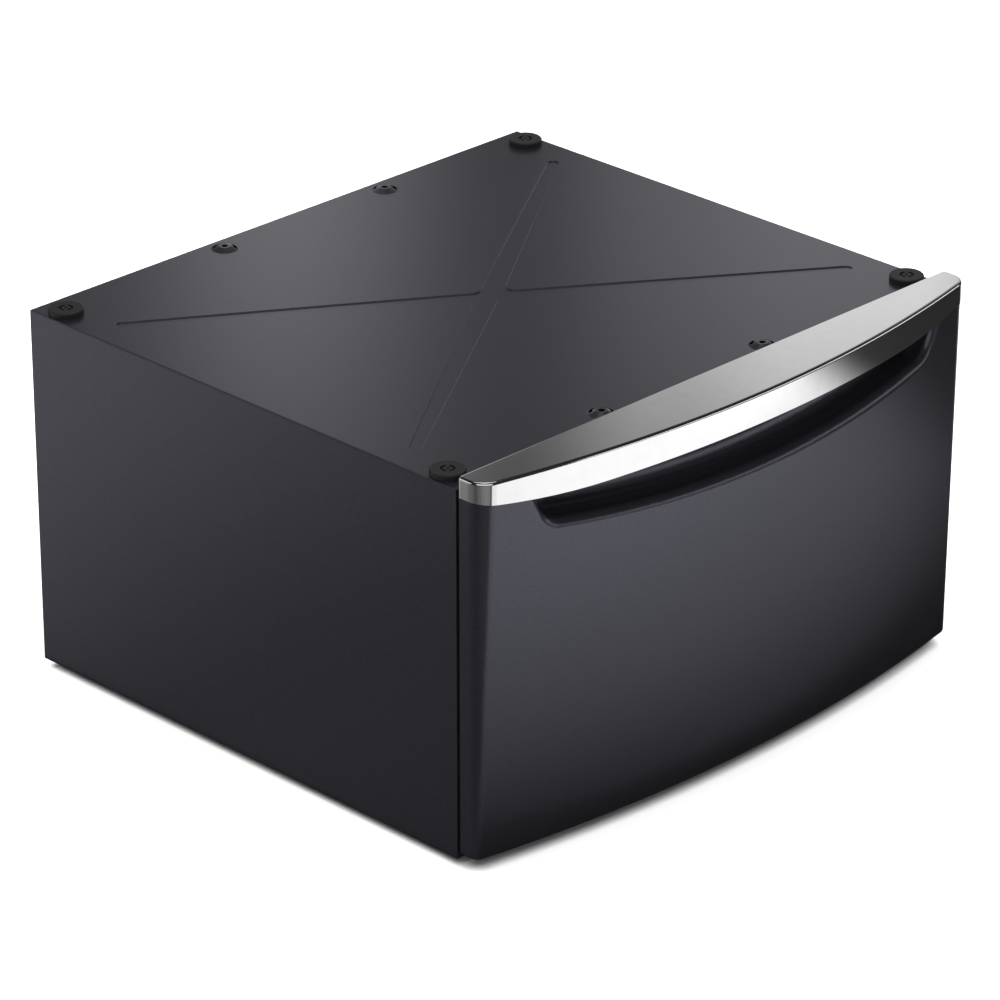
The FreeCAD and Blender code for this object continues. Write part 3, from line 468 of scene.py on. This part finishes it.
# %% [markdown]
# ## Zinc-plated steel
#
# Screws, nuts, feet and slides are electroplated with zinc and passivated,
# which leaves a bright, slightly blue skin with a fine drawn grain along the
# rolled sections. Real lines are about 0.1 mm apart, too fine to show, so they
# are drawn 0.8 mm apart.

# %% Zinc-plated steel
DRAWN_LINE_MM = 0.8
DRAWN_LENGTH_MM = 60.0

zinc, tree, shader, place = start_finish("zinc_plated_steel", Metallic=1.0)
stretch = add(tree, "ShaderNodeMapping", {"Vector": place},
              {"Scale": (per_metre(DRAWN_LINE_MM), per_metre(DRAWN_LENGTH_MM), per_metre(DRAWN_LINE_MM))})
lines = add(tree, "ShaderNodeTexNoise", {"Vector": stretch.outputs["Vector"]}, {"Scale": 1.0, "Detail": 2.0})
passivated = add(tree, "ShaderNodeMix", {"Factor": lines.outputs["Fac"]},
                 {6: linear("#aab2b9"), 7: linear("#c9ced1")}, data_type="RGBA")
gloss = add(tree, "ShaderNodeMapRange", {"Value": lines.outputs["Fac"]}, {"To Min": 0.2, "To Max": 0.38})
grooves = add(tree, "ShaderNodeBump", {"Height": lines.outputs["Fac"]}, {"Strength": 0.15, "Distance": 0.05 * MM})
tree.links.new(passivated.outputs[2], shader.inputs["Base Color"])
tree.links.new(gloss.outputs["Result"], shader.inputs["Roughness"])
tree.links.new(grooves.outputs["Normal"], shader.inputs["Normal"])
print(zinc.name, "drawn lines", DRAWN_LINE_MM, "mm")


# %% [markdown]
# ## Give each part its finish
#
# The record names a material slot for each CAD part. Most parts take the
# finish of their slot. Within the bare steel, sheet parts are galvanised and
# the turned, rolled and screwed parts are zinc plated.

# %% Give each part its finish
SHEET_WORDS = ("panel", "liner", "rail", "post", "bracket")
SLIDE_WORDS = ("cabinet_rail", "intermediate_rail", "drawer_rail", "screws")
finish_of_slot = {"body_paint": slate, "handle_chrome": chrome, "pad_rubber": rubber, "drawer_paint": powder}


def finish_for(node):
    """The finish of a CAD part, from its slot and, for bare steel, its kind."""
    if slot_of[node] in finish_of_slot:
        return finish_of_slot[slot_of[node]]
    is_sheet = any(word in node for word in SHEET_WORDS) and not any(word in node for word in SLIDE_WORDS)
    return galvanised if is_sheet else zinc


for name, piece in nodes.items():
    piece.data.materials.clear()
    piece.data.materials.append(finish_for(name))
print(len(nodes), "parts finished")


# %% [markdown]
# ## Pan-head screws
#
# The back cover and the drawer box are held by pan-head screws. On the real
# ones the head is cold-formed with a low dome and a cross recess for the
# driver. The CAD model has plain heads at the right places, so each separate
# solid of its node is measured and a turned screw is put in its place. A turned
# shape is a stack of rings; the recess is made by sinking the rings' points
# where they fall inside the cross.

# %% Pan-head screws
import bmesh

HEAD_RADIUS = 4.0 * MM
HEAD_HEIGHT = 1.8 * MM
HEAD_RIM = 0.5 * MM
SHANK_RADIUS = 2.0 * MM
SHANK_TIP = 1.0 * MM
RECESS_ARM = 2.3 * MM
RECESS_HALF_WIDTH = 0.6 * MM
RECESS_DEPTH = 1.1 * MM
RING_STEP = 0.2 * MM
SCREW_SEGMENTS = 64
SHARP_DEGREES = 35
MERGE = 1e-6


def solid_boxes(node):
    """The (lowest, highest) corners of each separate solid in a CAD node."""
    work = bmesh.new()
    work.from_mesh(nodes[node].data)
    bmesh.ops.remove_doubles(work, verts=work.verts, dist=MERGE)
    left, boxes = set(work.verts), []
    while left:
        group, edge = set(), {left.pop()}
        while edge:
            group |= edge
            edge = {e.other_vert(v) for v in edge for e in v.link_edges} - group
        left -= group
        boxes.append(tuple(Vector([pick(v.co[i] for v in group) for i in range(3)]) for pick in (min, max)))
    work.free()
    return sorted(boxes, key=lambda pair: tuple(round(c, 4) for c in pair[0]))


def turned(work, profile, place, segments, shape):
    """A closed turned solid: rings at (radius, height), each point passed through shape."""
    rings = []
    for radius, height in profile:
        ring = []
        for k in range(segments):
            angle = 2 * math.pi * k / segments
            r, z = shape(radius, height, angle)
            ring.append(work.verts.new(place @ Vector((r * math.cos(angle), r * math.sin(angle), z))))
        rings.append(ring)
    for low, high in zip(rings, rings[1:]):
        for k in range(segments):
            after = (k + 1) % segments
            work.faces.new((low[k], low[after], high[after], high[k]))
    work.faces.new(list(reversed(rings[0])))
    work.faces.new(rings[-1])


def finish_piece(name, work, material, body, node):
    """The worked mesh as a piece that rides on a body and stands for a CAD node."""
    bmesh.ops.recalc_face_normals(work, faces=work.faces)
    data = bpy.data.meshes.new(name)
    work.to_mesh(data)
    work.free()
    data.polygons.foreach_set("use_smooth", [True] * len(data.polygons))
    data.set_sharp_from_angle(angle=math.radians(SHARP_DEGREES))
    data.materials.append(material)
    piece = bpy.data.objects.new(name, data)
    bpy.context.scene.collection.objects.link(piece)
    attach(piece, body)
    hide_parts(node)
    print(name, len(data.vertices), "vertices, stands for", node)
    return piece


def cross_recess(radius, height, angle):
    """Sinks a point of the dome that falls inside the driver's cross."""
    across = sorted((abs(radius * math.cos(angle)), abs(radius * math.sin(angle))))
    inside = height > HEAD_RIM and across[0] < RECESS_HALF_WIDTH and across[1] < RECESS_ARM
    return radius, height - RECESS_DEPTH if inside else height


def screw_profile(length):
    """Rings of a pan-head screw, from the tip of the shank to the middle of the dome."""
    profile = [
        (SHANK_RADIUS / 2, -length), (SHANK_RADIUS, SHANK_TIP - length), (SHANK_RADIUS, 0), (HEAD_RADIUS, 0)]
    steps = round(HEAD_RADIUS / RING_STEP)
    for k in range(steps):
        radius = HEAD_RADIUS - k * RING_STEP
        rise = math.sqrt(1 - (radius / HEAD_RADIUS) ** 2)
        profile.append((radius, HEAD_RIM + (HEAD_HEIGHT - HEAD_RIM) * rise))
    return profile


TO_BACK = Matrix.Rotation(math.radians(-90), 4, "X")
for name, node, body in (("back_cover_screw_heads", "rear_panel_screws", "cabinet"),
                         ("drawer_box_screw_heads", "drawer_screws", "drawer")):
    work = bmesh.new()
    for low, high in solid_boxes(node):
        middle = (low + high) / 2
        seat = Vector((middle.x, high.y - HEAD_HEIGHT, middle.z))
        profile = screw_profile(seat.y - low.y)
        turned(work, profile, Matrix.Translation(seat) @ TO_BACK, SCREW_SEGMENTS, cross_recess)
    finish_piece(name, work, zinc, body, node)


# %% [markdown]
# ## Levelling feet
#
# A levelling foot is a pressed steel disc on a threaded stud. The thread shows
# between the disc and the corner plate, most of all when the foot is wound
# down. The stud is a stack of rings whose radius goes in and out with height,
# shifted a little with the angle, which winds the groove into a helix.

# %% Levelling feet
THREAD_PITCH = 1.5 * MM
THREAD_DEPTH = 0.55 * MM
THREAD_STEP = THREAD_PITCH / 6
DISC_PROFILE_MM = ((6.0, 0.0), (15.6, 0.0), (16.6, 0.5), (17.0, 1.3), (17.0, 2.6), (16.5, 3.6), (15.2, 4.3),
                   (13.5, 4.5), (9.9, 4.5), (9.1, 4.9), (9.0, 5.6), (9.0, 6.8), (8.4, 7.4), (5.2, 7.4))
STUD_RADIUS = 5.0 * MM
STUD_FOOT = 7.6 * MM
STUD_CHAMFER = 1.0 * MM
STUD_SEGMENTS = 48


def thread(radius, height, angle):
    """Winds the groove of the thread into the stud; the disc below it is left alone."""
    if height < STUD_FOOT:
        return radius, height
    turn = (height / THREAD_PITCH - angle / (2 * math.pi)) % 1
    return radius - THREAD_DEPTH * (1 - abs(2 * turn - 1)), height


for corner in ("front_left", "front_right", "rear_left", "rear_right"):
    node = "levelling_foot_" + corner
    low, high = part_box(node)
    middle = (low + high) / 2
    top = high.z - low.z
    profile = [(r * MM, z * MM) for r, z in DISC_PROFILE_MM]
    rings = int((top - STUD_CHAMFER - STUD_FOOT) / THREAD_STEP)
    profile += [(STUD_RADIUS, STUD_FOOT + k * THREAD_STEP) for k in range(rings + 1)]
    profile += [(STUD_RADIUS - STUD_CHAMFER, top)]
    work = bmesh.new()
    turned(work, profile, Matrix.Translation((middle.x, middle.y, low.z)), STUD_SEGMENTS, thread)
    finish_piece("foot_with_thread_" + corner, work, zinc, "foot_" + corner, node)
